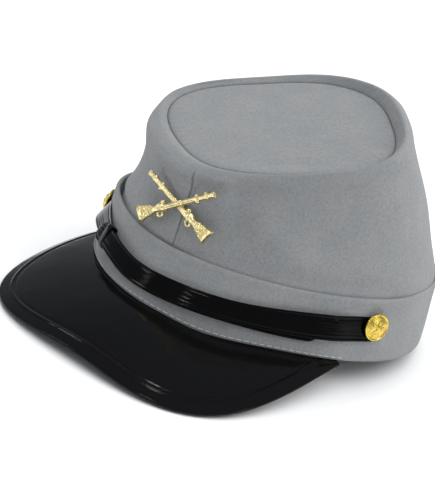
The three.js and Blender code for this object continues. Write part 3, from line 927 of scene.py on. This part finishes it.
def strap_outside(name, angle):
    """How far a strap's outer face stands off the band, where it laps, bows and is lifted."""
    lift = 1.3 * bump(angle, KEEPER_ANGLE, radians(10))
    bow = 1.3 * degree_bump(angle, -139, 10)
    sway = 0.25 * np.sin(9 * angle + 1.0) * (1 - bump(angle, KEEPER_ANGLE, radians(16)))
    if name == "inner":
        return INNER_FACE + lift + bow
    over = right_of(angle, 24, 33)
    tip = right_of(angle, 120.5, 126)
    return INNER_FACE + (OUTER_FACE - INNER_FACE + sway) * over + lift + tip


def strap_guide(name, start, end):
    """The middle line of a strap: gathered in the keeper, and narrower across the front."""
    angles = np.linspace(start, end, 240)
    middle = strap_outside(name, angles) - STRAP_WALL / 2
    gathered = 1 - smoothstep(angles, KEEPER_ANGLE - 0.12, KEEPER_ANGLE + 0.12)
    front = right_of(angles, 32, 66)
    rise = 0.09 * right_of(angles, 98, 122)
    level = strap_level(angles, STRAP_DROP[name]) + rise
    level = level + (STRAP_DROP[name] - 0.03) * gathered
    if name == "outer":
        level = level - 0.048 * front
    points = placed(on_band(angles, level, middle))
    tuck = 0.07 + 0.32 * degree_bump(angles, -139, 11)
    outward = unit(placed(on_band(angles, level, middle + 1.0)) - points)
    up = unit(placed(on_band(angles, level + 0.05, middle)) - points)
    guide = guide_line(f"{name}_strap_guide", points, unit(outward + up * tuck[:, None]))
    share = guide.data.attributes.new("width_share", "FLOAT", "POINT")
    width = 1 - 0.2 * front + 0.14 * bump(angles, radians(-140), 0.2)
    share.data.foreach_set("value", width.astype(np.float32))
    return guide


def make_straps():
    runs = {"outer": (OUTER_TIP, NEAR_BUTTON + PAST_BUTTON),
            "inner": (FAR_BUTTON - PAST_BUTTON, INNER_TIP)}
    for name, (start, end) in runs.items():
        guide = strap_guide(name, start, end)
        strap = grown(f"chin_strap_{name}", guide, STRAP, BLACK_STRAP,
                      Width=STRAP_WIDTH * MM, Thickness=STRAP_WALL * MM)
        finished(strap, "black_gloss", f"strap_{name}")


make_straps()


def face_frame(angle, level, outward=0.0):
    """A place on the band's face: its point and its around, up and outward directions."""
    step = 0.01
    point = on_band(angle, level, outward)
    around = unit(on_band(angle + step, level, outward) - on_band(angle - step, level, outward))
    rise = on_band(angle, level + step, outward) - on_band(angle, level - step, outward)
    normal = unit(np.cross(around, rise))
    return point, around, np.cross(normal, around), normal


def on_face(local, frame_axes):
    point, around, up, normal = frame_axes
    local = np.asarray(local, float)
    return point + local[..., :1] * around + local[..., 1:2] * up + local[..., 2:3] * normal


def make_keeper():
    """A narrow loop folded round both straps, its edges rounded and its corners soft."""
    wide, deep, wall, length = STRAP_WIDTH * 0.4 + 0.45, 3.5 / 2, 0.6, 6.5
    axes = face_frame(KEEPER_ANGLE, strap_level(KEEPER_ANGLE, 0.035) + 0.06)
    turn = np.linspace(0, 2 * math.pi, 120, endpoint=False)

    def ring(half_up, half_out):
        return oval(np.cos(turn), 5.0) * half_up, oval(np.sin(turn), 3.6) * half_out

    outline = [(-length / 2 + 0.4, 0.0), (-length / 2, 0.3), (-length / 2, wall - 0.3),
               (-length / 2 + 0.35, wall + 0.05), (-length / 4, wall + 0.15), (0, wall + 0.2),
               (length / 4, wall + 0.15), (length / 2 - 0.35, wall + 0.05),
               (length / 2, wall - 0.3), (length / 2, 0.3), (length / 2 - 0.4, 0.0), (0, 0.0)]
    middle = 0.6 + wall + deep
    sections = []
    for along, out in outline:
        up, away = ring(wide + out, deep + out)
        curve = -0.5 * (along / length) ** 2
        slant = 0.1 * up
        sections.append(np.stack([along - slant, up, away + middle + curve], -1))
    sections = on_face(np.stack(sections, 1), axes)
    finished(swept("strap_keeper_loop", sections, BLACK_LOOP), "black_gloss", "strap_keeper")


make_keeper()


# ---------- buttons

STAR_POINTS, RAYS = 5, 48


def make_buttons():
    """Domed buttons: a rolled rim, a flat channel and a plain raised star on the dome."""
    radius = BUTTON_RADIUS
    profile = [(1.5, -5.6), (1.5, -0.2), (radius - 0.9, -0.1), (radius - 0.25, 0.15), (radius, 0.6),
               (radius - 0.1, 1.1), (radius - 0.45, 1.4), (radius - 0.85, 1.35), (radius - 1.15, 1.05)]
    dome_radii = np.linspace(radius - 1.2, 0.0, 34)
    dome_heights = 1.05 + 2.0 * (1 - (dome_radii / (radius - 1.2)) ** 2)
    radii = np.array([0.0] + [r for r, _ in profile] + list(dome_radii))
    heights = np.array([-5.6] + [h for _, h in profile] + list(dome_heights))
    turn = np.linspace(0, 2 * math.pi, 160, endpoint=False)
    wedge = np.abs((turn * STAR_POINTS / math.pi + 1.0) % 2 - 1)
    star_edge = 1.55 + 2.75 * (1 - wedge) ** 1.6
    star = 0.42 * (1 - smoothstep(radii, star_edge[:, None] - 0.35, star_edge[:, None] + 0.35))
    rays = 0.07 * np.cos(RAYS * turn)[:, None] * bump(radii, 5.0, 0.7)[None, :]
    on_dome = np.arange(len(radii)) > len(profile)
    height = heights[None, :] + (star + rays) * on_dome[None, :] + INNER_FACE + 1.0
    local = np.stack([np.outer(np.cos(turn), radii), np.outer(np.sin(turn), radii), height], -1)
    faces = grid_faces(*height.shape, True, False)
    for name, angle, level in (("left", NEAR_BUTTON, BUTTON_LEVEL),
                               ("right", FAR_BUTTON, BUTTON_LEVEL - 0.07)):
        points = on_face(local, face_frame(angle, level)).reshape(-1, 3)
        mesh = solid_mesh(f"button_{name}_face", points, faces)
        finished(make_object(f"button_{name}_face", mesh, BRASS), "brass", f"button_{name}")


make_buttons()


# ---------- badge

BADGE_ANGLE = radians(-93.4)
BADGE_SHARE = 0.652
BADGE_TURN = radians(5.5)
BADGE_TILT = radians(4.0)
BADGE_OFF = 1.2
CROSSING_LIFT = 1.3

# A rifle from muzzle to butt: place along it, reach above and below the barrel line, thickness.
RIFLE = np.array([
    (0.000, 1.25, 1.25, 0.5), (0.010, 1.55, 1.55, 1.4), (0.035, 1.55, 1.55, 1.5),
    (0.045, 1.25, 1.25, 1.3), (0.085, 1.25, 1.25, 1.3), (0.095, 1.65, 1.65, 1.6),
    (0.120, 1.65, 1.65, 1.6), (0.130, 1.30, 1.30, 1.4), (0.200, 1.35, 1.35, 1.4),
    (0.212, 1.75, 1.75, 1.7), (0.240, 1.75, 1.75, 1.7), (0.252, 1.40, 1.40, 1.5),
    (0.420, 1.45, 1.50, 1.5), (0.432, 1.75, 1.80, 1.7), (0.450, 1.75, 1.80, 1.7),
    (0.462, 1.50, 1.55, 1.5), (0.600, 1.55, 1.70, 1.6), (0.640, 1.80, 2.00, 1.7),
    (0.670, 2.50, 2.10, 1.9), (0.700, 3.00, 2.30, 2.0), (0.730, 2.60, 2.20, 1.9),
    (0.760, 1.80, 1.60, 1.7), (0.790, 2.00, 1.60, 1.5), (0.830, 2.90, 2.30, 1.5),
    (0.900, 3.60, 3.00, 1.6), (0.955, 4.10, 3.70, 1.7), (0.965, 4.50, 4.10, 2.1),
    (0.990, 4.80, 4.40, 2.1), (1.000, 4.70, 4.30, 1.0),
])


def badge_axes():
    """The place on the crown's front that the badge is pinned to."""
    step = 0.03
    angles = np.array([BADGE_ANGLE - step, BADGE_ANGLE, BADGE_ANGLE + step])
    grid = crown_outside(angles)
    row = int(np.argmin(np.abs(WALL_SHARES - BADGE_SHARE)))
    across = unit(grid[2, row] - grid[0, row])
    rise = unit(grid[1, row + 3] - grid[1, row - 3])
    normal = unit(np.cross(across, rise))
    up = np.cross(normal, across)
    cos, sin = math.cos(BADGE_TILT), math.sin(BADGE_TILT)
    up, normal = up * cos + normal * sin, normal * cos - up * sin
    cos, sin = math.cos(BADGE_TURN), math.sin(BADGE_TURN)
    middle = grid[1, row] + normal * BADGE_OFF
    return middle, across * cos + up * sin, up * cos - across * sin, normal


def rifle_relief():
    """Front face heights of one rifle, as a closed section at each place along it."""
    along = np.unique(np.concatenate([RIFLE[:, 0], np.linspace(0, 1, 260)]))
    above, below, thick = (np.interp(along, RIFLE[:, 0], RIFLE[:, k]) for k in (1, 2, 3))
    spread = np.linspace(-1, 1, 33)
    rise = np.where(spread > 0, above[:, None] * spread, below[:, None] * spread)
    length = (along[:, None] - 0.5) * RIFLE_LENGTH + 0 * rise
    length += 0.18 * rise * smoothstep(along, 0.8, 1.0)[:, None]
    rounding = np.sqrt(np.maximum(0, 1 - np.abs(spread) ** 3.2))[None, :]
    height = 0.35 + (thick[:, None] - 0.35) * rounding
    butt = smoothstep(along, 0.79, 0.82) * (1 - smoothstep(along, 0.945, 0.955))
    scroll = np.sin(length * 3.1 + 2.2 * np.sin(rise * 1.7))
    scroll = scroll * np.sin(rise * 2.9 + np.sin(length * 1.3))
    height += 0.5 * scroll * butt[:, None] * rounding
    lock = np.hypot((along[:, None] - 0.7) * RIFLE_LENGTH, rise - 0.3)
    height += 0.3 * bump(lock, 1.55, 0.3) + 0.35 * bump(lock, 0, 0.55)
    groove = smoothstep(along, 0.25, 0.28) * (1 - smoothstep(along, 0.62, 0.65))
    height -= 0.22 * groove[:, None] * bump(rise, -0.35, 0.22)
    rim = smoothstep(along, 0.8, 0.85) * (1 - smoothstep(along, 0.95, 0.96))
    height += 0.25 * rim[:, None] * bump(np.abs(spread), 0.86, 0.09)[None, :]
    front = np.stack([length, rise, height], -1)
    back = np.stack([length, rise, 0 * height], -1)
    return np.concatenate([front, back[:, ::-1]], 1)


def studs():
    """Small knobs beside the barrel bands, the hammer and the trigger guard of one rifle."""
    knobs = ((0.108, 1, 0.9), (0.226, 1, 1.0), (0.226, -1, 1.0), (0.655, 1, 1.4))
    shapes = []
    turn = np.linspace(0, 2 * math.pi, 20, endpoint=False)
    lift = np.linspace(0, math.pi, 11)
    for along, side, size in knobs:
        ball = np.stack([np.outer(np.cos(turn), np.sin(lift)), np.outer(np.sin(turn), np.sin(lift)),
                         np.outer(np.ones(20), -np.cos(lift))], -1) * size
        reach = 1.4 + 1.1 * (along > 0.5)
        shapes.append(ball + np.array([(along - 0.5) * RIFLE_LENGTH, side * reach, 0.8]))
    tube = np.linspace(0, 2 * math.pi, 13)
    ring = 1.35 + 0.5 * np.cos(tube)
    guard = np.stack([np.outer(np.cos(turn) * 1.25, ring), np.outer(np.sin(turn), ring),
                      np.outer(np.ones(20), 0.5 * np.sin(tube))], -1)
    shapes.append(guard + np.array([(0.715 - 0.5) * RIFLE_LENGTH, -2.7, 0.75]))
    return shapes


def make_badge():
    """Two rifles, mirror images, the second one laid over the first."""
    axes = badge_axes()
    solids = [(rifle_relief(), False)] + [(shape, True) for shape in studs()]
    cos, sin = math.cos(-RIFLE_LEAN), math.sin(-RIFLE_LEAN)
    points, faces = [], []
    for facing, depth in ((1, 0.0), (-1, CROSSING_LIFT)):
        for grid, closed in solids:
            x = grid[..., 0] * cos - grid[..., 1] * sin
            y = grid[..., 0] * sin + grid[..., 1] * cos
            base = sum(len(p) for p in points)
            local = np.stack([x * facing, y, grid[..., 2] + depth], -1)
            points.append(on_face(local, axes).reshape(-1, 3))
            faces += grid_faces(*grid.shape[:2], closed, not closed, base)
            if not closed:
                faces += end_caps(*grid.shape[:2], base)
    mesh = solid_mesh("badge_rifles", np.concatenate(points), faces)
    finished(make_object("badge_rifles", mesh, PALE_GOLD), "gold_badge", "badge")


make_badge()


# ---------- stitching

SEAM_STITCH_OFFSET = 3.0
HEM_STITCH_LEVEL = 0.045


def stitch_run(name, points, facing, material, **sizes):
    run = grown(name, guide_line(f"{name}_guide", points, facing), STITCHES, material, **sizes)
    return finished(run, "grey_cloth")


def make_stitching():
    """Grey stitches beside the front seam, and pale ones along the hem above the visor."""
    grid = crown_shape()
    normals = grid_normals(grid, True)
    column = int(np.argmin(np.abs(ANGLES - FRONT - SEAM_STITCH_OFFSET / CROWN_RADIUS)))
    rows = slice(8, 50)
    face, normal = grid[column, rows], normals[column, rows]
    facing = unit(placed(face + normal) - placed(face))
    stitch_run("front_seam_stitches_left", placed(face + normal * 0.1), facing, GREY_THREAD)

    start = hem_angle_at(VISOR["start"])
    sweep = np.linspace(-math.pi - start, start, 400)
    seam = on_band(sweep, HEM_STITCH_LEVEL, 0.3)
    outwards = on_band(sweep, HEM_STITCH_LEVEL, 1.3) - seam
    seam[:, 2] -= hem_sag(sweep)
    facing = unit(placed(seam + outwards) - placed(seam))
    stitch_run("hem_stitches", placed(seam), facing, PALE_THREAD,
               StitchLength=0.0026, StitchGap=0.0012, ThreadRadius=0.00026)


make_stitching()
